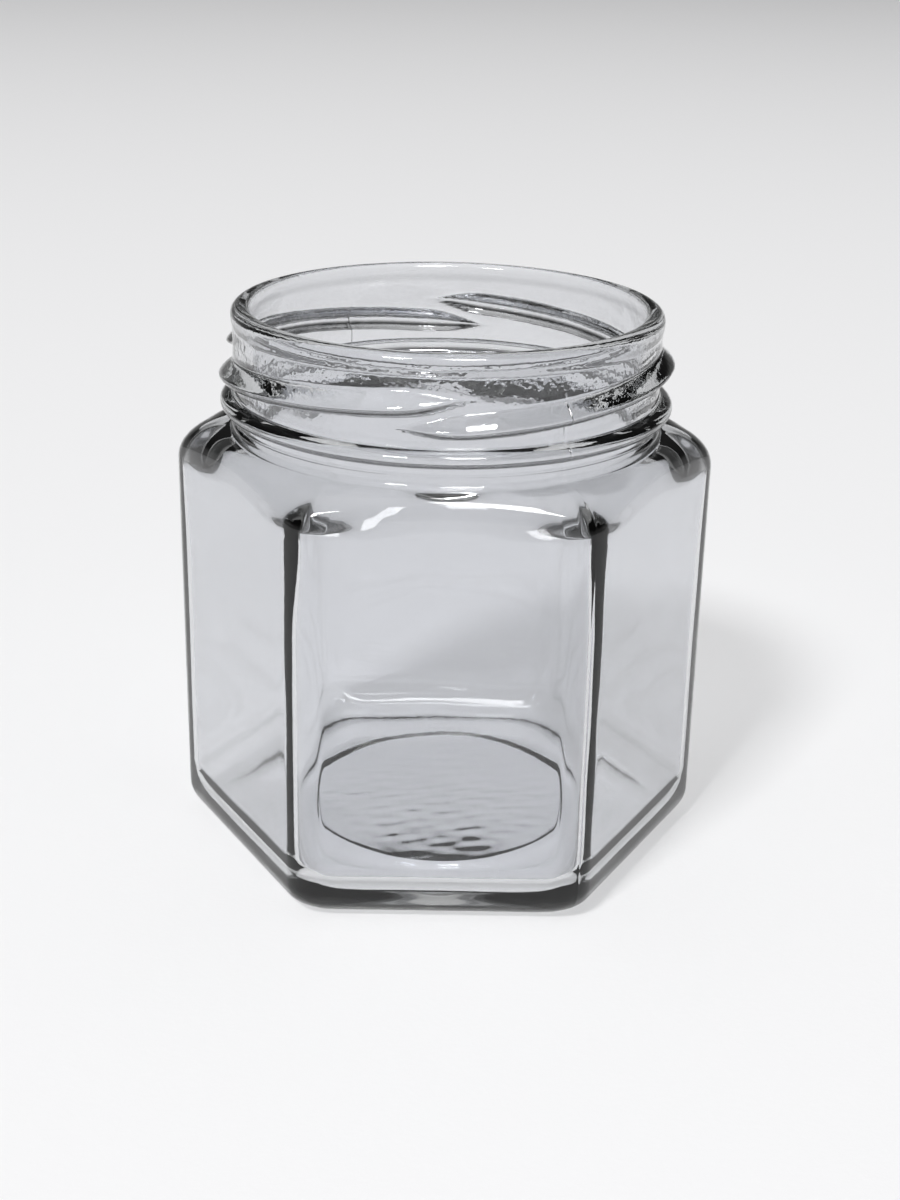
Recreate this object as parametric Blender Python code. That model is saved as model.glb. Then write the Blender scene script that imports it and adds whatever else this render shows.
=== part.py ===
"""A small hexagonal jar of clear glass with a round twist-off neck, as one solid.

Run it with blender --background --python part.py, or from Blender's text editor.
Metres, +Z up. The origin is the middle of the base, on the surface that the jar stands on.
The front panel faces -Y, so two of the upright edges lie on the X axis.
"""
import math

import bmesh
import bpy

MM = 0.001

# Driving dimensions, in millimetres
ACROSS_FLATS = 65.0
HEIGHT = 76.0
WALL = 2.5
EDGE_RADIUS = 5.0
INNER_EDGE_RADIUS = 3.6
INNER_EDGE_TOP_RADIUS = 1.0
SHARP_EDGE_HEIGHT = 14.0
SHOULDER_START = 55.2
NECK_FOOT = 59.3
NECK_RADIUS = 28.8
LIP_PROUD = 0.2
BORE_RADIUS = 26.4

# Base: a crowned floor, and under it a round push-up whose middle sags, with a step round it
BASE_THICKNESS = 2.4
FLOOR_CROWN = 2.2
HEEL_RADIUS = 4.5
INNER_HEEL_RADIUS = 5.6
HEEL_CORNER_SOFTENING = 0.9
PUSH_UP_RADIUS = 19.1
PUSH_UP_DEPTH = 1.0
PUSH_UP_SAG = 0.3
PUSH_UP_MIDDLE = 0.55
PLATE_STEP = 0.1
PLATE_STEP_WIDTH = 0.35
BEARING_RISE_WIDTH = 2.2

# Shoulder: a rounded turn, tighter over the panels, its outer start a little lower at the upright edges
SHOULDER_ROUNDNESS = 2.05
PANEL_ROUNDNESS = 2.3
SHOULDER_DIP = 1.2
SHOULDER_DIP_WIDTH = 13.0
FOOT_ROUNDING = 0.9
INNER_ROUNDNESS = 1.15
INNER_SHOULDER_DROP = 2.0
INNER_SHOULDER_DIP = -0.6
INNER_FOOT_ROUNDING = 1.8

# Collar under the threads, the bead that the jar is carried by while it is made
COLLAR_PROUD = 1.8
COLLAR_HALF_HEIGHT = 1.25
COLLAR_BELOW_RIM = 12.8

# Rim: a lip that is a little proud of the neck, rounded on both sides
LIP_HEIGHT = 3.0
RIM_OUTER_ROUNDING = 1.2
RIM_INNER_ROUNDING = 0.9

# Threads: four starts that climb to the right, each past the start of the next
THREAD_STARTS = 4
THREAD_SPAN = 105.0
THREAD_FIRST_ANGLE = -101.0
THREAD_LOW_BELOW_RIM = 9.2
THREAD_HIGH_BELOW_RIM = 5.4
THREAD_PROUD = 1.9
THREAD_HALF_HEIGHT = 1.7
THREAD_ROOT = 1.0
THREAD_SINK = 0.25
THREAD_TIP_LENGTH = 0.16
THREAD_TIP_SIZE = 0.06

# Facets: steps over each flat and each rounded edge, and over each rounded stretch of the profile
FLAT_STEPS = 6
EDGE_STEPS = 4
SHOULDER_STEPS = 7
FOOT_STEPS = 2
ROUNDING_STEPS = 4
FLOOR_STEPS = 4
THREAD_STATIONS = 24
THREAD_SECTION_STEPS = 6
SHARP_ANGLE = 35.0

APOTHEM = ACROSS_FLATS / 2
INNER_APOTHEM = APOTHEM - WALL
SEXTANT = math.radians(60)
HALF_SEXTANT = SEXTANT / 2
FRONT = -math.pi / 2


def angle_off_flat(angle):
    """Angle from the middle of the nearest flat, up to half a sextant, at an upright edge."""
    return abs((angle - FRONT + HALF_SEXTANT) % SEXTANT - HALF_SEXTANT)


def hexagon_radius(angle, apothem, edge_radius):
    """Distance from the axis to a hexagon with rounded corners, a flat of which faces -Y."""
    off_flat = angle_off_flat(angle)
    inset = apothem - edge_radius
    if apothem * math.tan(off_flat) <= inset * math.tan(HALF_SEXTANT):
        return apothem / math.cos(off_flat)
    centre = inset / math.cos(HALF_SEXTANT)
    off_corner = HALF_SEXTANT - off_flat
    reach = edge_radius ** 2 - (centre * math.sin(off_corner)) ** 2
    return centre * math.cos(off_corner) + math.sqrt(max(reach, 0.0))


def column_angles():
    """Angles round the jar: even steps over each flat, closer steps over each rounded edge."""
    inset = APOTHEM - EDGE_RADIUS
    flat_half = math.atan(inset * math.tan(HALF_SEXTANT) / APOTHEM)
    angles = []
    for side in range(6):
        middle = FRONT + side * SEXTANT
        for step in range(FLAT_STEPS):
            angles.append(middle + flat_half * (2 * step / FLAT_STEPS - 1))
        for step in range(EDGE_STEPS):
            turn = HALF_SEXTANT * (2 * step / EDGE_STEPS - 1)
            across = EDGE_RADIUS * math.sin(turn)
            along = inset / math.cos(HALF_SEXTANT) + EDGE_RADIUS * math.cos(turn)
            angles.append(middle + HALF_SEXTANT + math.atan2(across, along))
    return angles


ANGLES = column_angles()


def circle(radius, z):
    """A round ring of points: one (radius, height) for each column."""
    return [(radius, z) for _ in ANGLES]


def hexagon(apothem, edge_radius, z):
    """A rounded hexagonal ring of points."""
    return [(hexagon_radius(angle, apothem, edge_radius), z) for angle in ANGLES]


def rounding(steps, start, end):
    """Sine and cosine of even turns from start to end, both in degrees."""
    for step in range(steps + 1):
        turn = math.radians(start + (end - start) * step / steps)
        yield math.sin(turn), math.cos(turn)


def heel_rings(apothem, edge_radius, floor, radius):
    """Rounding between the floor and the upright panels, softer at the corners low down."""
    rings = []
    for rise, run in rounding(ROUNDING_STEPS, 0, 90):
        inset = radius * (1 - rise)
        corner = edge_radius + HEEL_CORNER_SOFTENING * inset
        rings.append(hexagon(apothem - inset, corner, floor + radius * (1 - run)))
    return rings


def floor_rings(apothem, edge_radius, floor, crown):
    """The crowned floor inside, from its rim nearly to the middle."""
    rings = []
    for step in range(1, FLOOR_STEPS):
        share = 1 - step / FLOOR_STEPS
        rings.append(hexagon(apothem * share, edge_radius * share, floor + crown * (1 - share * share)))
    return rings


def shoulder_dip(angle, dip):
    """How much lower the shoulder starts here, from nothing over a flat to most at an edge."""
    off_corner = math.degrees(HALF_SEXTANT - angle_off_flat(angle))
    share = max(0.0, 1 - off_corner / SHOULDER_DIP_WIDTH)
    return dip * share * share * (3 - 2 * share)


def shoulder_power(angle, roundness):
    """How boxy the shoulder's turn is here, between its roundness at an edge and over a panel."""
    panel = math.cos(angle_off_flat(angle) * math.pi / SEXTANT) ** 2
    return 2 / (roundness + (PANEL_ROUNDNESS - roundness) * panel)


def shoulder_rings(apothem, edge_radius, neck_radius, foot, low, high, dip, roundness):
    """From the upright panels to the round neck, with a hollow rounding at the neck's foot."""
    foot_radius = neck_radius + foot
    rings = []
    for rise, run in rounding(SHOULDER_STEPS, 0, 90):
        ring = []
        for angle in ANGLES:
            power = shoulder_power(angle, roundness)
            start = low - shoulder_dip(angle, dip)
            span = hexagon_radius(angle, apothem, edge_radius) - foot_radius
            ring.append((foot_radius + span * abs(run) ** power, start + (high - start) * rise ** power))
        rings.append(ring)
    for rise, run in list(rounding(FOOT_STEPS, 0, 90))[1:]:
        rings.append(circle(foot_radius - foot * rise, high + foot * (1 - run)))
    return rings


def outside_rings():
    """Rings over the outside, from the middle of the base up to the top of the rim."""
    disc_radius = PUSH_UP_RADIUS - PLATE_STEP_WIDTH
    rings = [
        circle(disc_radius * PUSH_UP_MIDDLE, PUSH_UP_DEPTH - PUSH_UP_SAG * (1 - PUSH_UP_MIDDLE ** 2)),
        circle(disc_radius, PUSH_UP_DEPTH),
        circle(PUSH_UP_RADIUS, PUSH_UP_DEPTH + PLATE_STEP),
        circle(PUSH_UP_RADIUS + BEARING_RISE_WIDTH, 0.0),
    ]
    rings += heel_rings(APOTHEM, EDGE_RADIUS, 0.0, HEEL_RADIUS)
    rings += shoulder_rings(APOTHEM, EDGE_RADIUS, NECK_RADIUS, FOOT_ROUNDING, SHOULDER_START, NECK_FOOT,
                            SHOULDER_DIP, SHOULDER_ROUNDNESS)
    collar_z = HEIGHT - COLLAR_BELOW_RIM
    for rise, run in rounding(2 * ROUNDING_STEPS, -90, 90):
        rings.append(circle(NECK_RADIUS + COLLAR_PROUD * run, collar_z + COLLAR_HALF_HEIGHT * rise))
    lip_radius = NECK_RADIUS + LIP_PROUD
    rings.append(circle(NECK_RADIUS, HEIGHT - LIP_HEIGHT))
    rings.append(circle(lip_radius, HEIGHT - LIP_HEIGHT + LIP_PROUD))
    for rise, run in rounding(ROUNDING_STEPS, 0, 90):
        inset = RIM_OUTER_ROUNDING * (1 - run)
        rings.append(circle(lip_radius - inset, HEIGHT - RIM_OUTER_ROUNDING * (1 - rise)))
    return rings


def inside_rings():
    """Rings over the inside, from the top of the rim down to the middle of the floor."""
    rings = []
    for rise, run in rounding(ROUNDING_STEPS, 90, 0):
        inset = RIM_INNER_ROUNDING * (1 - run)
        rings.append(circle(BORE_RADIUS + inset, HEIGHT - RIM_INNER_ROUNDING * (1 - rise)))
    low = SHOULDER_START - INNER_SHOULDER_DROP
    high = NECK_FOOT - INNER_SHOULDER_DROP
    shoulder = shoulder_rings(INNER_APOTHEM, INNER_EDGE_TOP_RADIUS, BORE_RADIUS, INNER_FOOT_ROUNDING, low, high,
                              INNER_SHOULDER_DIP, INNER_ROUNDNESS)
    heel = heel_rings(INNER_APOTHEM, INNER_EDGE_RADIUS, BASE_THICKNESS, INNER_HEEL_RADIUS)
    rings += reversed(shoulder)
    rings.append(hexagon(INNER_APOTHEM, INNER_EDGE_RADIUS, low - SHARP_EDGE_HEIGHT))
    rings += reversed(heel)
    corner = INNER_EDGE_RADIUS + HEEL_CORNER_SOFTENING * INNER_HEEL_RADIUS
    rings += floor_rings(INNER_APOTHEM - INNER_HEEL_RADIUS, corner, BASE_THICKNESS, FLOOR_CROWN)
    return rings


def add_ring(mesh, ring):
    """Make the points of a ring, given in millimetres, in metres."""
    points = []
    for angle, (radius, z) in zip(ANGLES, ring):
        point = (radius * math.cos(angle) * MM, radius * math.sin(angle) * MM, z * MM)
        points.append(mesh.verts.new(point))
    return points


def close_with_fan(mesh, points, z):
    """Close a ring with triangles to a point on the axis."""
    middle = mesh.verts.new((0.0, 0.0, z * MM))
    for first, second in zip(points, points[1:] + points[:1]):
        mesh.faces.new((middle, first, second))


def loft(rings, start_z, end_z):
    """A closed mesh through all the rings, with a fan at each end."""
    mesh = bmesh.new()
    loops = [add_ring(mesh, ring) for ring in rings]
    for lower, upper in zip(loops, loops[1:]):
        count = len(lower)
        for i in range(count):
            j = (i + 1) % count
            mesh.faces.new((lower[i], lower[j], upper[j], upper[i]))
    close_with_fan(mesh, loops[0], start_z)
    close_with_fan(mesh, loops[-1], end_z)
    bmesh.ops.recalc_face_normals(mesh, faces=mesh.faces)
    return mesh


def thread_section(angle, z, size):
    """Points round one cut through a thread: a half ellipse outside, a root inside the wall."""
    section = []
    base = NECK_RADIUS - THREAD_SINK
    proud = THREAD_PROUD * size + THREAD_SINK
    for rise, run in rounding(THREAD_SECTION_STEPS, -90, 90):
        section.append((base + proud * run, z + THREAD_HALF_HEIGHT * size * rise))
    root = NECK_RADIUS - THREAD_ROOT
    section.append((root, z + THREAD_HALF_HEIGHT * size))
    section.append((root, z - THREAD_HALF_HEIGHT * size))
    return [(radius * math.cos(angle) * MM, radius * math.sin(angle) * MM, height * MM)
            for radius, height in section]


def thread(start):
    """One thread, tapered to a point at both ends, as a closed mesh."""
    mesh = bmesh.new()
    loops = []
    first = THREAD_FIRST_ANGLE + start * 360 / THREAD_STARTS
    climb = THREAD_LOW_BELOW_RIM - THREAD_HIGH_BELOW_RIM
    for station in range(THREAD_STATIONS + 1):
        along = (1 - math.cos(math.pi * station / THREAD_STATIONS)) / 2
        angle = FRONT + math.radians(first + THREAD_SPAN * along)
        to_tip = min(min(along, 1 - along) / THREAD_TIP_LENGTH, 1.0)
        size = THREAD_TIP_SIZE + (1 - THREAD_TIP_SIZE) * math.sin(to_tip * math.pi / 2)
        points = thread_section(angle, HEIGHT - THREAD_LOW_BELOW_RIM + climb * along, size)
        loops.append([mesh.verts.new(point) for point in points])
    for near, far in zip(loops, loops[1:]):
        count = len(near)
        for i in range(count):
            j = (i + 1) % count
            mesh.faces.new((near[i], far[i], far[j], near[j]))
    mesh.faces.new(loops[0])
    mesh.faces.new(reversed(loops[-1]))
    bmesh.ops.recalc_face_normals(mesh, faces=mesh.faces)
    return mesh


def glass_material():
    """Clear container glass with a slight grey tint."""
    material = bpy.data.materials.new("clear_glass")
    material.use_nodes = True
    shader = material.node_tree.nodes["Principled BSDF"]
    shader.inputs["Base Color"].default_value = (0.78, 0.79, 0.82, 1.0)
    shader.inputs["Roughness"].default_value = 0.03
    shader.inputs["Metallic"].default_value = 0.0
    shader.inputs["IOR"].default_value = 1.52
    shader.inputs["Transmission Weight"].default_value = 1.0
    return material


def new_object(name, mesh, collection):
    """Turn a finished bmesh into an object of the collection."""
    data = bpy.data.meshes.new(name)
    mesh.to_mesh(data)
    mesh.free()
    item = bpy.data.objects.new(name, data)
    collection.objects.link(item)
    return item


def clear_scene():
    """Remove whatever the file holds at the start."""
    for item in list(bpy.data.objects):
        bpy.data.objects.remove(item, do_unlink=True)


def join_threads(jar, threads):
    """Fuse the threads to the neck with one union, and remove the loose ones."""
    union = jar.modifiers.new("threads", 'BOOLEAN')
    union.operation = 'UNION'
    union.operand_type = 'COLLECTION'
    union.solver = 'EXACT'
    union.collection = threads
    depsgraph = bpy.context.evaluated_depsgraph_get()
    fused = bpy.data.meshes.new_from_object(jar.evaluated_get(depsgraph))
    jar.modifiers.clear()
    jar.data = fused
    for item in list(threads.objects):
        bpy.data.objects.remove(item, do_unlink=True)
    bpy.data.collections.remove(threads)


def build_jar():
    """Body, neck and threads as one solid of glass."""
    scene_collection = bpy.context.scene.collection
    rings = outside_rings() + inside_rings()
    body = loft(rings, PUSH_UP_DEPTH - PUSH_UP_SAG, BASE_THICKNESS + FLOOR_CROWN)
    jar = new_object("jar", body, scene_collection)
    threads = bpy.data.collections.new("threads")
    scene_collection.children.link(threads)
    for start in range(THREAD_STARTS):
        new_object(f"thread_{start}", thread(start), threads)
    join_threads(jar, threads)
    jar.data.materials.clear()
    jar.data.materials.append(glass_material())
    jar.data.shade_smooth()
    jar.data.set_sharp_from_angle(angle=math.radians(SHARP_ANGLE))
    return jar


clear_scene()
build_jar()
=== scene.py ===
"""A small hexagonal jar of clear glass, empty and open, on a pale studio floor.

Laid out as an add-on and run as a script. Metres, +Z up, the front panel facing -Y.
The jar is one fine mesh with the form and size of the plain solid that it replaces. It adds what
glass from a mould has: two mould seams, filleted threads, a wavy inside, a base with chill waves.
"""
import math

import bpy
import numpy as np
from bpy.props import FloatProperty, FloatVectorProperty, IntProperty, PointerProperty
from mathutils import Matrix, Vector


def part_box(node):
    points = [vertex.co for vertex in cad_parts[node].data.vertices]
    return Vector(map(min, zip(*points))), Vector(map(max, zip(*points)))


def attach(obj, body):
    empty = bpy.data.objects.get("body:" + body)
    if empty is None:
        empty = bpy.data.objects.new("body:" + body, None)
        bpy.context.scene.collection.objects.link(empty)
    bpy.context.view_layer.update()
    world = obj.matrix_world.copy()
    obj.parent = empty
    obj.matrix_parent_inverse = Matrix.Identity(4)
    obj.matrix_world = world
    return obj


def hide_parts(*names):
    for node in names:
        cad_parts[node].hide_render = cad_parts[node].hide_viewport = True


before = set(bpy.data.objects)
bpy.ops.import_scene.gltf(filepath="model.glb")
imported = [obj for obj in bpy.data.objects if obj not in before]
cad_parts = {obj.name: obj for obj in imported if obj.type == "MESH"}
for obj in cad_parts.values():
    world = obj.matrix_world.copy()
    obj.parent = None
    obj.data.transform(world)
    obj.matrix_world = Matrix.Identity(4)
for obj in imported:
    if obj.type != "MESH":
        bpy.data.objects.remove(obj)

bl_info = {
    "name": "Hexagonal glass jar",
    "version": (1, 0, 0),
    "blender": (4, 5, 0),
    "location": "3D View > Sidebar > Jar",
    "description": "A hexagonal twist-off jar of clear glass, and a pale studio for it",
    "category": "Add Mesh",
}

MM = 0.001
NODE = "jar"
SOLID_LOW, SOLID_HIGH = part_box(NODE)

SEXTANT = math.radians(60)
HALF_SEXTANT = SEXTANT / 2
FRONT = -math.pi / 2

# Columns of the mesh over each flat and each rounded edge, and across each mould seam, in millimetres
FLAT_COLUMNS = 22
EDGE_COLUMNS = 16
SEAM_STEPS = (-0.45, -0.27, -0.15, -0.07, 0.0, 0.07, 0.15, 0.27, 0.45)


def linear(hex_colour):
    """An sRGB hex colour as linear red, green, blue and alpha."""
    channels = []
    for start in (0, 2, 4):
        value = int(hex_colour[start:start + 2], 16) / 255
        channels.append(value / 12.92 if value <= 0.04045 else ((value + 0.055) / 1.055) ** 2.4)
    return (*channels, 1.0)


def length(name, description, value):
    """A length property in metres."""
    return FloatProperty(name=name, description=description, default=value, unit='LENGTH', precision=5)


class JarSizes(bpy.types.PropertyGroup):
    """Sizes of the glass."""
    across_flats: length("Across flats", "Width of the body between panels", SOLID_HIGH[1] - SOLID_LOW[1])
    height: length("Height", "From the base to the top of the rim", SOLID_HIGH[2])
    wall: length("Wall", "Thickness of the panels", 2.5 * MM)
    edge_radius: length("Edge radius", "Rounding of the upright edges, outside", 5.0 * MM)
    inner_edge_radius: length("Inner edge radius", "Rounding of the upright edges, inside", 3.6 * MM)
    inner_edge_top: length("Inner edge at the top", "The same rounding below the shoulder", 1.0 * MM)
    base: length("Base", "Thickness of the base beside the heel", 2.4 * MM)
    floor_crown: length("Floor crown", "How much higher the floor is in the middle", 2.2 * MM)
    heel: length("Heel radius", "Rounding between base and panels, outside", 4.5 * MM)
    inner_heel: length("Inner heel radius", "Rounding between floor and panels, inside", 5.6 * MM)
    shoulder_start: length("Shoulder start", "Height at which the panels turn in", 55.2 * MM)
    shoulder_dip: length("Shoulder dip", "How much lower the shoulder starts at the edges", 1.2 * MM)
    neck_foot: length("Neck foot", "Height at which the shoulder meets the neck", 59.3 * MM)
    neck_radius: length("Neck radius", "Outside of the neck", 28.8 * MM)
    bore_radius: length("Bore radius", "Inside of the neck", 26.4 * MM)
    thread_proud: length("Thread", "How far the threads stand out of the neck", 1.9 * MM)
    collar_proud: length("Collar", "How far the collar stands out of the neck", 1.8 * MM)
    thread_starts: IntProperty(name="Thread starts", description="Threads round the neck", default=4, min=0)


class GlassLook(bpy.types.PropertyGroup):
    """Colour and depth of the glass."""
    tint: FloatVectorProperty(
        name="Tint", description="Colour that each wall gives to what is seen through it",
        subtype='COLOR', size=4, default=linear("F0F1F4"), min=0, max=1)
    depth_colour: FloatVectorProperty(
        name="Depth colour", description="Colour of thick glass, seen edge on",
        subtype='COLOR', size=4, default=linear("A6A8A0"), min=0, max=1)
    density: FloatProperty(
        name="Density", description="How soon thick glass goes dark, per metre", default=36.0, min=0)


class StudioLook(bpy.types.PropertyGroup):
    """Floor and light."""
    floor: FloatVectorProperty(
        name="Floor", description="Colour of the floor", subtype='COLOR', size=4,
        default=linear("F2F2F3"), min=0, max=1)
    floor_radius: length("Floor radius", "Radius of the round floor", 6.0)
    light: FloatProperty(name="Light", description="Strength of the two soft lights", default=1.0, min=0)


def ring(columns, radius, z):
    """One row of points round the jar: a radius and a height at each column."""
    rows = np.empty((2, len(columns)))
    rows[0] = radius
    rows[1] = z
    return rows


def turns(steps, start, end):
    """Sine and cosine of even turns from start to end, both in degrees."""
    for step in range(steps + 1):
        turn = math.radians(start + (end - start) * step / steps)
        yield math.sin(turn), math.cos(turn)


def eased(share):
    """From 0 to 1 with a soft start and end."""
    return share * share * (3 - 2 * share)


def off_flat(columns):
    """Angle from the middle of the nearest flat, at most half a sextant."""
    return np.abs((columns - FRONT + HALF_SEXTANT) % SEXTANT - HALF_SEXTANT)


def rounded_hexagon(columns, apothem, edge_radius):
    """Distance from the axis to a hexagon with rounded corners, a flat of which faces -Y."""
    turn = off_flat(columns)
    inset = apothem - edge_radius
    centre = inset / math.cos(HALF_SEXTANT)
    off_corner = HALF_SEXTANT - turn
    reach = np.sqrt(np.maximum(edge_radius ** 2 - (centre * np.sin(off_corner)) ** 2, 0.0))
    on_flat = apothem * np.tan(turn) <= inset * math.tan(HALF_SEXTANT)
    return np.where(on_flat, apothem / np.cos(turn), centre * np.cos(off_corner) + reach)


# The mould's two seams run up opposite edges. Other columns keep this many seam widths off them
SEAM_ANGLES = (FRONT + HALF_SEXTANT, FRONT + HALF_SEXTANT + math.pi)
SEAM_CLEARANCE = 1.5


def column_angles(sizes):
    """Angles of the mesh's columns, closer together over the edges and the seams."""
    inset = sizes.across_flats / 2 - sizes.edge_radius
    flat_half = math.atan(inset * math.tan(HALF_SEXTANT) / (sizes.across_flats / 2))
    angles = []
    for side in range(6):
        middle = FRONT + side * SEXTANT
        for step in range(FLAT_COLUMNS):
            angles.append(middle + flat_half * (2 * step / FLAT_COLUMNS - 1))
        for step in range(EDGE_COLUMNS):
            turn = HALF_SEXTANT * (2 * step / EDGE_COLUMNS - 1)
            across = sizes.edge_radius * math.sin(turn)
            along = inset / math.cos(HALF_SEXTANT) + sizes.edge_radius * math.cos(turn)
            angles.append(middle + HALF_SEXTANT + math.atan2(across, along))
    for seam in SEAM_ANGLES:
        near = SEAM_STEPS[-1] * MM / sizes.neck_radius * SEAM_CLEARANCE
        angles = [angle for angle in angles if abs(wrapped(angle - seam)) > near]
        angles += [seam + step * MM / sizes.neck_radius for step in SEAM_STEPS]
    return np.array(sorted(angle % math.tau for angle in angles))


def wrapped(angle):
    """The same angle, from minus pi to pi."""
    return (angle + math.pi) % math.tau - math.pi


def smooth_greater(first, second, width):
    """The greater of two heights, with a fillet of about the given width where they cross."""
    near = np.maximum(width - np.abs(first - second), 0.0) / width
    return np.maximum(first, second) + near * near * width / 4


# The threads: degrees round the neck from the front, heights below the rim, the share of the length
# that each tip takes, how deep the cut's ends sink in, and where its crest is
THREAD_SPAN = 105.0
THREAD_FIRST = -101.0
THREAD_LOW = 9.2 * MM
THREAD_HIGH = 5.4 * MM
THREAD_HALF_HEIGHT = 1.75 * MM
THREAD_TIP = 0.16
THREAD_SINK = 0.30 * MM
THREAD_FILLET = 0.28 * MM
THREAD_CREST = -0.3
THREAD_FLANK = 1.3


def thread_profile(across):
    """The cut through a thread, from -1 below to 1 above: a round lower flank, a long slope above."""
    below = np.clip((THREAD_CREST - across) / (1 + THREAD_CREST), 0.0, 1.0)
    above = np.clip((across - THREAD_CREST) / (1 - THREAD_CREST), 0.0, 1.0)
    return np.where(across < THREAD_CREST, np.sqrt(1 - below ** 2), 1 - above ** THREAD_FLANK)


def thread_relief(columns, z, sizes):
    """How far the threads stand out of the neck, at each column, at one height."""
    relief = np.zeros(len(columns))
    turned = np.degrees(columns - FRONT)
    for start in range(sizes.thread_starts):
        first = THREAD_FIRST + start * 360 / sizes.thread_starts
        along = (turned - first) % 360 / THREAD_SPAN
        to_tip = np.clip(np.minimum(along, 1 - along) / THREAD_TIP, 0.0, 1.0)
        size = np.sin(to_tip * math.pi / 2)
        middle = sizes.height - THREAD_LOW + (THREAD_LOW - THREAD_HIGH) * along
        half = np.maximum(THREAD_HALF_HEIGHT * size, 1e-6)
        bead = (sizes.thread_proud * size + THREAD_SINK) * thread_profile((z - middle) / half) - THREAD_SINK
        bead = smooth_greater(bead, np.zeros(len(columns)), THREAD_FILLET)
        relief = np.maximum(relief, bead)
    return relief


# The seam's fin is higher on the neck than on the body, and ends this far below the rim
BODY_SEAM = 0.035 * MM
NECK_SEAM = 0.12 * MM
SEAM_WIDTH = 0.16 * MM
SEAM_END = 5.2 * MM
SEAM_FADE = 1.6 * MM


def seam_relief(columns, row, sizes):
    """The fin that the two halves of the mould leave. It ends below the lip."""
    on_neck = np.clip((row[1] - sizes.shoulder_start) / (sizes.neck_foot - sizes.shoulder_start), 0.0, 1.0)
    below_lip = np.clip((sizes.height - SEAM_END - row[1]) / SEAM_FADE, 0.0, 1.0)
    relief = np.zeros(len(columns))
    for seam in SEAM_ANGLES:
        across = wrapped(columns - seam) * row[0]
        relief += (BODY_SEAM + (NECK_SEAM - BODY_SEAM) * on_neck) * np.exp(-(across / SEAM_WIDTH) ** 2)
    return relief * below_lip


# Waves of several lengths are added up: how many, and from which to which share of the length given
WAVE_COUNT = 9
SHORTEST, LONGEST = 0.7, 1.6


def waves(points, wavelength, seed):
    """Smooth irregular waves from about -1 to 1 through space, at points of shape (..., 3)."""
    draw = np.random.default_rng(seed)
    total = np.zeros(points.shape[:-1])
    for _ in range(WAVE_COUNT):
        direction = draw.normal(size=3)
        direction /= np.linalg.norm(direction)
        stretch = wavelength * draw.uniform(SHORTEST, LONGEST)
        total += np.sin(points @ direction * (math.tau / stretch) + draw.uniform(0, math.tau))
    return total / math.sqrt(WAVE_COUNT / 2) / 2


# The corners of the heel get rounder low down, by this share of how far the heel has turned in
HEEL_CORNER_SOFTENING = 0.9

# How boxy the shoulder's turn is over the upright edges and over the panels, where 2 is an ellipse,
# and over how many degrees beside an edge it starts lower
SHOULDER_ROUNDNESS = 2.05
PANEL_ROUNDNESS = 2.3
SHOULDER_DIP_WIDTH = 13.0
SHOULDER_ROWS = 24
FOOT_ROWS = 8


def heel_rings(columns, apothem, edge_radius, floor, radius, steps):
    """Rounding between a floor and the upright panels."""
    rings = []
    for rise, run in turns(steps, 0, 90):
        inset = radius * (1 - rise)
        hexagon = rounded_hexagon(columns, apothem - inset, edge_radius + HEEL_CORNER_SOFTENING * inset)
        rings.append(ring(columns, hexagon, floor + radius * (1 - run)))
    return rings


def shoulder_start(columns, low, dip):
    """Height at which the panels turn in: lower by the dip at each upright edge."""
    off_corner = np.degrees(HALF_SEXTANT - off_flat(columns))
    share = np.clip(1 - off_corner / SHOULDER_DIP_WIDTH, 0.0, 1.0)
    return low - dip * eased(share)


def shoulder_rings(columns, apothem, edge_radius, neck_radius, foot, low, high, dip, roundness):
    """From the upright panels to the round neck, with a hollow rounding at the neck's foot."""
    panel = np.cos(off_flat(columns) * math.pi / SEXTANT) ** 2
    power = 2 / (roundness + (PANEL_ROUNDNESS - roundness) * panel)
    foot_radius = neck_radius + foot
    start = shoulder_start(columns, low, dip)
    span = rounded_hexagon(columns, apothem, edge_radius) - foot_radius
    rings = []
    for rise, run in turns(SHOULDER_ROWS, 0, 90):
        z = start + (high - start) * rise ** power
        rings.append(ring(columns, foot_radius + span * abs(run) ** power, z))
    for rise, run in list(turns(FOOT_ROWS, 0, 90))[1:]:
        rings.append(ring(columns, foot_radius - foot * rise, high + foot * (1 - run)))
    return rings


def wall_rings(lower, upper, steps):
    """Even rows between two rows, without the two themselves."""
    return [lower + (upper - lower) * step / steps for step in range(1, steps)]


# The recess under the base, from its middle to where it meets the flat bearing face: the disc, the
# step round it, the rise down to the bearing face and the rows over each
PUSH_UP_RADIUS = 19.1 * MM
PUSH_UP_EDGE = 1.0 * MM
PUSH_UP_SAG = 0.3 * MM
PUSH_UP_RINGS = 40
PLATE_STEP = 0.1 * MM
PLATE_STEP_WIDTH = 0.35 * MM
PLATE_STEP_ROWS = (0.25, 0.5, 0.75, 1.0)
BEARING_RISE_WIDTH = 2.2 * MM
BEARING_RISE_ROWS = (0.15, 0.35, 0.55, 0.75, 1.0)
BEARING_ROWS = 5
BASE_MIDDLE = 0.6 * MM


def push_up_rings(columns):
    """The recess under the base, sagging in the middle, with the step round the mould's plate."""
    edge = PUSH_UP_RADIUS - PLATE_STEP_WIDTH
    rings = []
    for step in range(PUSH_UP_RINGS + 1):
        share = step / PUSH_UP_RINGS
        radius = BASE_MIDDLE + (edge - BASE_MIDDLE) * share
        rings.append(ring(columns, radius, PUSH_UP_EDGE - PUSH_UP_SAG * (1 - share * share)))
    for step in PLATE_STEP_ROWS:
        rings.append(ring(columns, edge + PLATE_STEP_WIDTH * step, PUSH_UP_EDGE + PLATE_STEP * eased(step)))
    top = PUSH_UP_EDGE + PLATE_STEP
    for step in BEARING_RISE_ROWS:
        rings.append(ring(columns, PUSH_UP_RADIUS + BEARING_RISE_WIDTH * step, top * (1 - eased(step))))
    return rings


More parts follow.
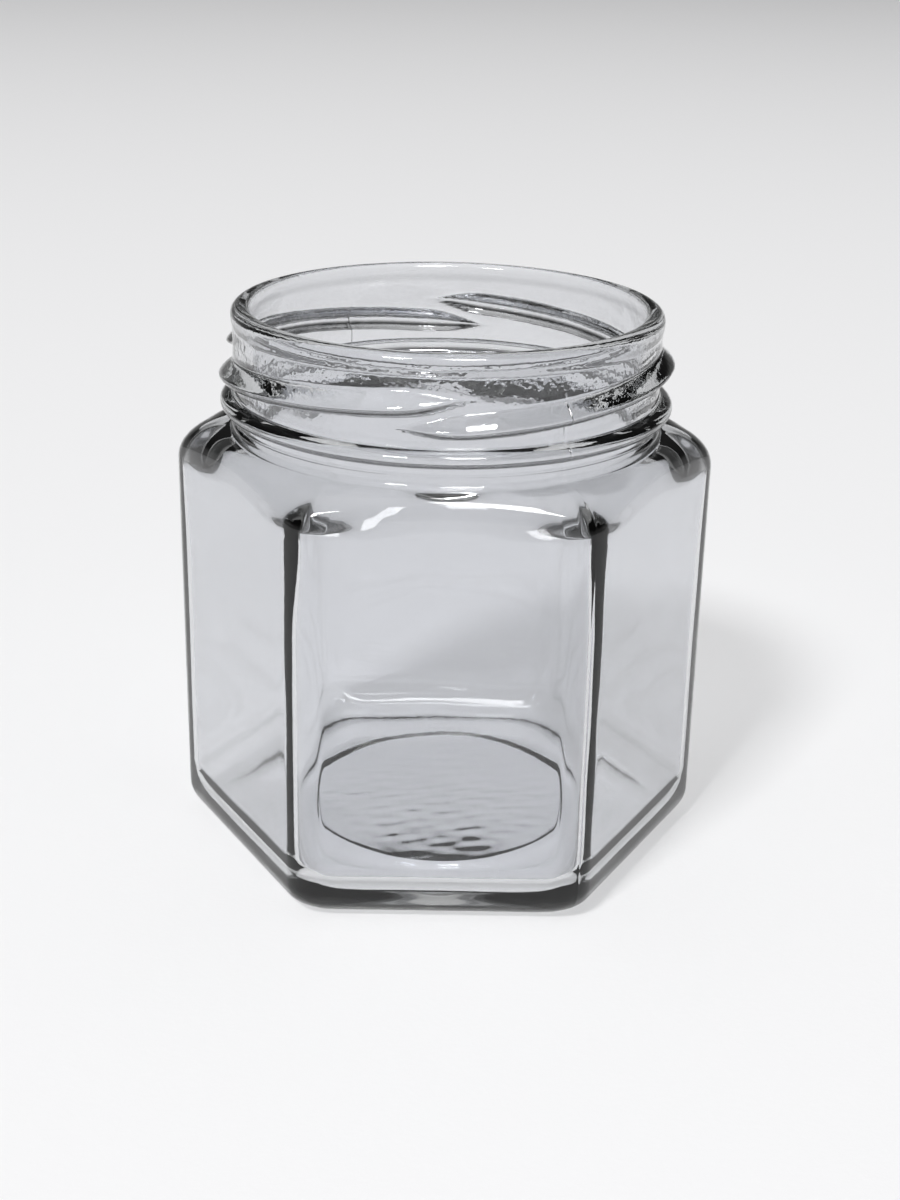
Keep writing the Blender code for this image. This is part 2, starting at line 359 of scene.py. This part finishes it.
# The outside of the neck, and the rows over the outside
FOOT_ROUNDING = 0.9 * MM
COLLAR_BELOW_RIM = 12.8 * MM
COLLAR_HALF_HEIGHT = 1.25 * MM
COLLAR_FILLET = 0.35 * MM
LIP_HEIGHT = 3.0 * MM
LIP_PROUD = 0.2 * MM
LIP_SLOPE = 1.4 * MM
RIM_OUTER_ROUNDING = 1.2 * MM
RIM_INNER_ROUNDING = 0.9 * MM
PARTING_Z = 60.95 * MM
PARTING_HEIGHT = 0.09 * MM
PARTING_WIDTH = 0.13 * MM
NECK_ROW = 0.125 * MM
HEEL_ROWS = 12
WALL_ROWS = 22
RIM_ROWS = 8


def neck_rings(columns, sizes):
    """The outside of the neck: parting line, collar, threads and lip, up to the rim's rounding."""
    bottom = sizes.neck_foot + FOOT_ROUNDING
    top = sizes.height - RIM_OUTER_ROUNDING
    collar_z = sizes.height - COLLAR_BELOW_RIM
    count = int((top - bottom) / NECK_ROW)
    rings = []
    for step in range(1, count + 1):
        z = bottom + (top - bottom) * step / count
        across = max(1 - ((z - collar_z) / COLLAR_HALF_HEIGHT) ** 2, 0.0)
        collar = np.array((sizes.collar_proud + THREAD_SINK) * across ** 0.5 - THREAD_SINK)
        relief = smooth_greater(collar, np.zeros(len(columns)), COLLAR_FILLET)
        relief = np.maximum(relief, thread_relief(columns, z, sizes))
        relief = relief + PARTING_HEIGHT * math.exp(-((z - PARTING_Z) / PARTING_WIDTH) ** 2)
        lip = np.clip((z - sizes.height + LIP_HEIGHT) / LIP_SLOPE, 0.0, 1.0)
        relief = relief + LIP_PROUD * eased(lip)
        rings.append(ring(columns, sizes.neck_radius + relief, z))
    return rings


def rim_rings(columns, radius, height, rounding, start, end):
    """The rounding of one side of the rim: rounding is below zero on the inside."""
    rings = []
    for rise, run in turns(RIM_ROWS, start, end):
        rings.append(ring(columns, radius - rounding * (1 - run), height - abs(rounding) * (1 - rise)))
    return rings


def outside_rings(columns, sizes):
    """All rows of the outside, from the middle of the base to the top of the rim."""
    apothem = sizes.across_flats / 2
    push_up = push_up_rings(columns)
    heel = heel_rings(columns, apothem, sizes.edge_radius, 0.0, sizes.heel, HEEL_ROWS)
    bearing = wall_rings(push_up[-1], heel[0], BEARING_ROWS)
    shoulder = shoulder_rings(columns, apothem, sizes.edge_radius, sizes.neck_radius, FOOT_ROUNDING,
                              sizes.shoulder_start, sizes.neck_foot, sizes.shoulder_dip,
                              SHOULDER_ROUNDNESS)
    wall = wall_rings(heel[-1], shoulder[0], WALL_ROWS)
    neck = neck_rings(columns, sizes)
    lip_radius = sizes.neck_radius + LIP_PROUD
    rim = rim_rings(columns, lip_radius, sizes.height, RIM_OUTER_ROUNDING, 0, 90)[1:]
    rings = push_up + bearing + heel + wall + shoulder + neck
    for row in rings[len(push_up):]:
        row[0] += seam_relief(columns, row, sizes)
    return rings + rim


# The inside: its shoulder is lower than the outer one, and starts higher at the upright edges
INNER_SHOULDER_DROP = 2.0 * MM
INNER_SHOULDER_DIP = -0.6 * MM
INNER_ROUNDNESS = 1.15
INNER_FOOT_ROUNDING = 1.8 * MM
INNER_WALL_ROWS = 30
INNER_FLOOR_ROWS = 18
INNER_HEEL_ROWS = 14
BORE_ROWS = 30
SHARP_EDGE_HEIGHT = 14.0 * MM


def inner_wall_rings(columns, apothem, sizes, top, bottom):
    """The inside of the panels, from the top down: the edges get rounder away from the shoulder."""
    rings = []
    for row in wall_rings(top, bottom, INNER_WALL_ROWS):
        below = np.clip((top[1].mean() - row[1].mean()) / SHARP_EDGE_HEIGHT, 0.0, 1.0)
        edge = sizes.inner_edge_top + (sizes.inner_edge_radius - sizes.inner_edge_top) * eased(below)
        rings.append(ring(columns, rounded_hexagon(columns, apothem, edge), row[1]))
    return rings


def inside_rings(columns, sizes):
    """All rows of the inside, from the top of the rim to the middle of the floor."""
    apothem = sizes.across_flats / 2 - sizes.wall
    low, high = sizes.shoulder_start - INNER_SHOULDER_DROP, sizes.neck_foot - INNER_SHOULDER_DROP
    shoulder = shoulder_rings(columns, apothem, sizes.inner_edge_top, sizes.bore_radius, INNER_FOOT_ROUNDING,
                              low, high, INNER_SHOULDER_DIP, INNER_ROUNDNESS)
    edge, radius = sizes.inner_edge_radius, sizes.inner_heel
    heel = heel_rings(columns, apothem, edge, sizes.base, radius, INNER_HEEL_ROWS)
    rim = rim_rings(columns, sizes.bore_radius, sizes.height, -RIM_INNER_ROUNDING, 90, 0)[1:]
    bore = wall_rings(rim[-1], shoulder[-1], BORE_ROWS)
    wall = inner_wall_rings(columns, apothem, sizes, shoulder[0], heel[-1])
    middle = ring(columns, BASE_MIDDLE, sizes.base)
    floor = wall_rings(heel[0], middle, INNER_FLOOR_ROWS)
    for step, row in enumerate(floor, 1):
        row[1] += sizes.floor_crown * (1 - (1 - step / INNER_FLOOR_ROWS) ** 2)
    middle[1] += sizes.floor_crown
    return rim + bore + shoulder[::-1] + wall + heel[::-1] + floor + [middle]


def glass_jar_mesh(sizes):
    """The whole jar as one closed mesh: outside, rim and inside, row by row."""
    columns = column_angles(sizes)
    outside, inside = outside_rings(columns, sizes), inside_rings(columns, sizes)
    rows = np.array(outside + inside)
    radius, z = rows[:, 0], rows[:, 1]
    points = np.stack([radius * np.cos(columns), radius * np.sin(columns), z], axis=-1)
    add_hand_of_the_mould(points, len(outside), sizes)
    row_count, column_count = radius.shape
    corners = np.arange(row_count * column_count).reshape(row_count, column_count)
    here, right = corners[:-1], np.roll(corners[:-1], -1, axis=1)
    above, above_right = corners[1:], np.roll(corners[1:], -1, axis=1)
    quads = np.stack([here, right, above_right, above], axis=-1).reshape(-1, 4).tolist()
    base_middle, floor_middle = row_count * column_count, row_count * column_count + 1
    first, last = corners[0], corners[-1]
    fans = [(base_middle, int(b), int(a)) for a, b in zip(first, np.roll(first, -1))]
    fans += [(floor_middle, int(a), int(b)) for a, b in zip(last, np.roll(last, -1))]
    middles = [(0.0, 0.0, points[0, :, 2].mean()), (0.0, 0.0, points[-1, :, 2].mean())]
    mesh = bpy.data.meshes.new("glass_jar")
    mesh.from_pydata(points.reshape(-1, 3).tolist() + middles, [], quads + fans)
    mesh.update()
    mesh.shade_smooth()
    return mesh


# How uneven the glass is: the inside all over, the inside of the neck, and the push-up, whose waves
# are longer from left to right and fade out over this share of its radius. The rim stays even
INSIDE_WAVE = 0.07 * MM
INSIDE_WAVELENGTH = 17 * MM
BORE_WAVE = 0.05 * MM
BORE_WAVELENGTH = 6 * MM
CHILL_WAVE = 0.025 * MM
CHILL_WAVELENGTH = 1.5 * MM
CHILL_STRETCH = (0.35, 1.0, 1.0)
CHILL_FADE = 0.25
INSIDE_SEED, BORE_SEED, CHILL_SEED = 11, 12, 13
EVEN_RIM = 2.5 * MM
EVEN_RIM_FADE = 3.0 * MM


def add_hand_of_the_mould(points, inside_from, sizes):
    """Move points so that the inside is slightly wavy and the push-up shows chill waves."""
    inside = points[inside_from:]
    height = inside[..., 2]
    clear_of_rim = np.clip((sizes.height - EVEN_RIM - height) / EVEN_RIM_FADE, 0.0, 1.0)
    wave = INSIDE_WAVE * waves(inside, INSIDE_WAVELENGTH, INSIDE_SEED)
    in_neck = np.clip((height - sizes.shoulder_start) / (sizes.neck_foot - sizes.shoulder_start), 0.0, 1.0)
    wave += BORE_WAVE * in_neck * waves(inside, BORE_WAVELENGTH, BORE_SEED)
    reach = np.hypot(inside[..., 0], inside[..., 1])
    outward = inside[..., :2] / np.maximum(reach, 1e-9)[..., None]
    upright = np.clip((height - sizes.base) / sizes.inner_heel, 0.0, 1.0)
    inside[..., :2] += outward * (wave * clear_of_rim * upright)[..., None]
    inside[..., 2] += wave * clear_of_rim * (1 - upright)
    base = points[:PUSH_UP_RINGS]
    from_middle = np.hypot(base[..., 0], base[..., 1]) / PUSH_UP_RADIUS
    fade = np.clip((1 - from_middle) / CHILL_FADE, 0.0, 1.0)
    stretched = base * np.array(CHILL_STRETCH)
    base[..., 2] += CHILL_WAVE * waves(stretched, CHILL_WAVELENGTH, CHILL_SEED) * fade


def add_node(material, kind, links=None, **settings):
    """Add a node, set its properties and inputs, and link sockets to its inputs."""
    node = material.node_tree.nodes.new(kind)
    for name, value in settings.items():
        if name in node.inputs:
            node.inputs[name].default_value = value
        else:
            setattr(node, name, value)
    for name, socket in (links or {}).items():
        material.node_tree.links.new(socket, node.inputs[name])
    return node


def new_material(name):
    """An empty node material with its output node."""
    material = bpy.data.materials.new(name)
    material.use_nodes = True
    material.node_tree.nodes.clear()
    return material, add_node(material, "ShaderNodeOutputMaterial")


# Sizes of the glass's unevenness, the heights between which the neck's peel comes in, and its share
# on the body
PEEL_GRAIN = 0.85 * MM
PEEL_DEPTH = 0.02 * MM
PEEL_FROM = 61.5 * MM
PEEL_TO = 65.5 * MM
BODY_PEEL = 0.08
SAG_GRAIN = 9.0 * MM
SAG_DEPTH = 0.05 * MM

# Smudges: their size, the part of the noise that makes them, and how rough they are at most
SMUDGE = 14.0 * MM
SMUDGE_NOISE = (0.45, 0.75)
SMUDGE_ROUGHNESS = 0.035

# How strongly soda-lime glass bends light
GLASS_IOR = 1.52


def map_range(material, value, source, target):
    """Bring a value from one range to another, clamped to it."""
    return add_node(material, "ShaderNodeMapRange", {"Value": value}, **{
        "From Min": source[0], "From Max": source[1], "To Min": target[0], "To Max": target[1],
    }).outputs["Result"]


def soda_lime_glass(look):
    """Soda-lime container glass, pressed and blown: clear, glossy, slightly uneven.

    The mould leaves a faint peel on the neck and slow waves on the panels. Handling leaves smudges
    that only just soften the reflections. Thick glass, seen edge on, goes a dark olive grey.
    """
    material, output = new_material("soda_lime_glass")
    place = add_node(material, "ShaderNodeTexCoord").outputs["Object"]
    smudge = add_node(material, "ShaderNodeTexNoise", {"Vector": place}, Scale=1 / SMUDGE, Detail=1.0)
    rough = map_range(material, smudge.outputs["Fac"], SMUDGE_NOISE, (0.0, SMUDGE_ROUGHNESS))
    sag = add_node(material, "ShaderNodeTexNoise", {"Vector": place}, Scale=1 / SAG_GRAIN, Detail=0.0)
    peel = add_node(material, "ShaderNodeTexNoise", {"Vector": place}, Scale=1 / PEEL_GRAIN, Detail=1.0)
    height = add_node(material, "ShaderNodeSeparateXYZ", {"Vector": place}).outputs["Z"]
    on_neck = map_range(material, height, (PEEL_FROM, PEEL_TO), (BODY_PEEL, 1.0))
    slow = add_node(material, "ShaderNodeBump", {"Height": sag.outputs["Fac"]}, Distance=SAG_DEPTH)
    fine = add_node(material, "ShaderNodeBump", {
        "Height": peel.outputs["Fac"],
        "Strength": on_neck,
        "Normal": slow.outputs["Normal"],
    }, Distance=PEEL_DEPTH)
    shader = add_node(material, "ShaderNodeBsdfPrincipled", {
        "Roughness": rough, "Normal": fine.outputs["Normal"]})
    shader.inputs["Base Color"].default_value = look.tint
    shader.inputs["IOR"].default_value = GLASS_IOR
    shader.inputs["Transmission Weight"].default_value = 1.0
    depth = add_node(material, "ShaderNodeVolumeAbsorption", Density=look.density)
    depth.inputs["Color"].default_value = look.depth_colour
    links = material.node_tree.links
    links.new(shader.outputs["BSDF"], output.inputs["Surface"])
    links.new(depth.outputs["Volume"], output.inputs["Volume"])
    return material


# The board's roller texture, how matte the paint is and what shine is left
FLOOR_GRAIN = 0.8 * MM
FLOOR_RELIEF = 0.02 * MM
FLOOR_ROUGHNESS = 0.75
FLOOR_SHINE = 0.2


def painted_board(look):
    """Matte painted board: pale, flat, with a fine roller texture that takes the shine off."""
    material, output = new_material("painted_board")
    place = add_node(material, "ShaderNodeTexCoord").outputs["Object"]
    grain = add_node(material, "ShaderNodeTexNoise", {"Vector": place}, Scale=1 / FLOOR_GRAIN, Detail=2.0)
    bump = add_node(material, "ShaderNodeBump", {"Height": grain.outputs["Fac"]}, Distance=FLOOR_RELIEF)
    normal = {"Normal": bump.outputs["Normal"]}
    shader = add_node(material, "ShaderNodeBsdfPrincipled", normal, Roughness=FLOOR_ROUGHNESS)
    shader.inputs["Base Color"].default_value = look.floor
    shader.inputs["Specular IOR Level"].default_value = FLOOR_SHINE
    material.node_tree.links.new(shader.outputs["BSDF"], output.inputs["Surface"])
    return material


def add_object(name, data):
    """Link new data to the scene as an object."""
    item = bpy.data.objects.new(name, data)
    bpy.context.scene.collection.objects.link(item)
    return item


class JAR_OT_glass(bpy.types.Operator):
    """Make the glass jar in place of its plain solid."""
    bl_idname = "hexagonal_jar.glass"
    bl_label = "Glass jar"

    def execute(self, context):
        mesh = glass_jar_mesh(context.scene.jar_sizes)
        mesh.materials.append(soda_lime_glass(context.scene.jar_glass))
        jar = add_object("glass_jar", mesh)
        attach(jar, "root")
        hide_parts(NODE)
        return {'FINISHED'}


# The floor lies this far below the base, so that the two faces don't fight
FLOOR_SIDES = 128
FLOOR_GAP = 0.02 * MM


def build_floor(look):
    """A wide round floor at the height of the base."""
    corners = []
    for side in range(FLOOR_SIDES):
        turn = math.tau * side / FLOOR_SIDES
        corners.append((look.floor_radius * math.cos(turn), look.floor_radius * math.sin(turn), -FLOOR_GAP))
    mesh = bpy.data.meshes.new("floor")
    mesh.from_pydata(corners, [], [tuple(range(FLOOR_SIDES))])
    mesh.materials.append(painted_board(look))
    floor = add_object("floor", mesh)
    return floor


# The camera: fitted to the photograph's rim, edges and base, for a frame of 900 by 1200 pixels
FRAME_HEIGHT = 1200
FOCAL_PIXELS = 1792.35
SENSOR = 36.0
CAMERA_DISTANCE = 237.1 * MM
CAMERA_SIDE = 1.09 * MM
CAMERA_HEIGHT = 128.22 * MM
CAMERA_PITCH = math.radians(21.83)
CAMERA_ROLL = math.radians(1.241)
CAMERA_HEADING = math.radians(-0.693)


def build_camera():
    """The camera at the photograph's viewing angle."""
    data = bpy.data.cameras.new("camera")
    data.sensor_width = SENSOR
    data.lens = FOCAL_PIXELS / FRAME_HEIGHT * SENSOR
    data.clip_start = 0.01
    data.clip_end = 30.0
    camera = add_object("camera", data)
    heading = Matrix.Rotation(CAMERA_HEADING, 4, 'Z')
    place = Matrix.Translation((CAMERA_SIDE, -CAMERA_DISTANCE, CAMERA_HEIGHT))
    tilt = Matrix.Rotation(math.pi / 2 - CAMERA_PITCH, 4, 'X') @ Matrix.Rotation(CAMERA_ROLL, 4, 'Z')
    camera.matrix_world = heading @ place @ tilt
    bpy.context.scene.camera = camera


# Height above the horizon, as the sine of the angle, and how bright the room is there
WORLD_LEVELS = ((0.0, 0.4), (0.1, 0.28), (0.25, 0.05), (0.66, 0.07), (0.84, 0.45), (1.0, 0.6))


def build_world():
    """Light from all round: a bright overhead field, darker sides, a pale horizon."""
    world = bpy.data.worlds.new("studio")
    world.use_nodes = True
    world.node_tree.nodes.clear()
    place = add_node(world, "ShaderNodeTexCoord").outputs["Generated"]
    rise = add_node(world, "ShaderNodeSeparateXYZ", {"Vector": place}).outputs["Z"]
    ramp = add_node(world, "ShaderNodeValToRGB", {"Fac": rise})
    ramp.color_ramp.interpolation = 'EASE'
    stops = ramp.color_ramp.elements
    stops[0].position, stops[1].position = WORLD_LEVELS[0][0], WORLD_LEVELS[-1][0]
    for position, _ in WORLD_LEVELS[1:-1]:
        stops.new(position)
    for stop, (_, level) in zip(stops, WORLD_LEVELS):
        stop.color = (level, level, level, 1.0)
    background = add_node(world, "ShaderNodeBackground", {"Color": ramp.outputs["Color"]})
    add_node(world, "ShaderNodeOutputWorld", {"Surface": background.outputs["Background"]})
    bpy.context.scene.world = world


# How far the soft lights stand from the jar, in metres
LIGHT_DISTANCE = 5.0


def build_light(name, azimuth, elevation, width, height, radiance):
    """A soft rectangular light that faces the jar. Azimuth 0 is on the camera's side, 90 at +X."""
    data = bpy.data.lights.new(name, 'AREA')
    data.shape = 'RECTANGLE'
    data.size, data.size_y = width, height
    data.energy = radiance * math.pi * width * height
    light = add_object(name, data)
    turn, rise = math.radians(azimuth), math.radians(elevation)
    middle = (0.0, 0.0, SOLID_HIGH[2] / 2)
    away = (math.sin(turn) * math.cos(rise), -math.cos(turn) * math.cos(rise), math.sin(rise))
    light.location = [m + LIGHT_DISTANCE * a for m, a in zip(middle, away)]
    light.rotation_mode = 'QUATERNION'
    light.rotation_quaternion = Vector(away).to_track_quat('Z', 'Y')
    return light


def let_light_through(light, floor):
    """Clear glass hardly shades what it stands on: only the floor stops this light."""
    blockers = bpy.data.collections.new(light.name + "_blockers")
    blockers.objects.link(floor)
    light.light_linking.blocker_collection = blockers


class JAR_OT_studio(bpy.types.Operator):
    """Set the floor, the lights and the camera."""
    bl_idname = "hexagonal_jar.studio"
    bl_label = "Pale studio"

    def execute(self, context):
        look = context.scene.jar_studio
        floor = build_floor(look)
        build_world()
        build_light("key_softbox", azimuth=-32, elevation=48, width=0.9, height=0.8,
                    radiance=44 * look.light)
        overhead = build_light("overhead_softbox", azimuth=14, elevation=60, width=1.3, height=1.6,
                               radiance=22 * look.light)
        let_light_through(overhead, floor)
        build_camera()
        context.scene.view_settings.view_transform = 'Standard'
        return {'FINISHED'}


class JAR_PT_panel(bpy.types.Panel):
    """Lists the steps of the jar."""
    bl_label = "Hexagonal jar"
    bl_idname = "JAR_PT_panel"
    bl_space_type = 'VIEW_3D'
    bl_region_type = 'UI'
    bl_category = "Jar"

    def draw(self, context):
        for step in (JAR_OT_glass, JAR_OT_studio):
            self.layout.operator(step.bl_idname)


CLASSES = (JarSizes, GlassLook, StudioLook, JAR_OT_glass, JAR_OT_studio, JAR_PT_panel)


def register():
    """Register the classes and put their sizes and colours on the scene."""
    for item in CLASSES:
        bpy.utils.register_class(item)
    bpy.types.Scene.jar_sizes = PointerProperty(type=JarSizes)
    bpy.types.Scene.jar_glass = PointerProperty(type=GlassLook)
    bpy.types.Scene.jar_studio = PointerProperty(type=StudioLook)


def unregister():
    """Take them off again."""
    for name in ("jar_sizes", "jar_glass", "jar_studio"):
        delattr(bpy.types.Scene, name)
    for item in reversed(CLASSES):
        bpy.utils.unregister_class(item)


def main():
    """Build everything in order."""
    register()
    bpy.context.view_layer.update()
    bpy.ops.hexagonal_jar.glass()
    bpy.ops.hexagonal_jar.studio()


if __name__ == "__main__":
    main()
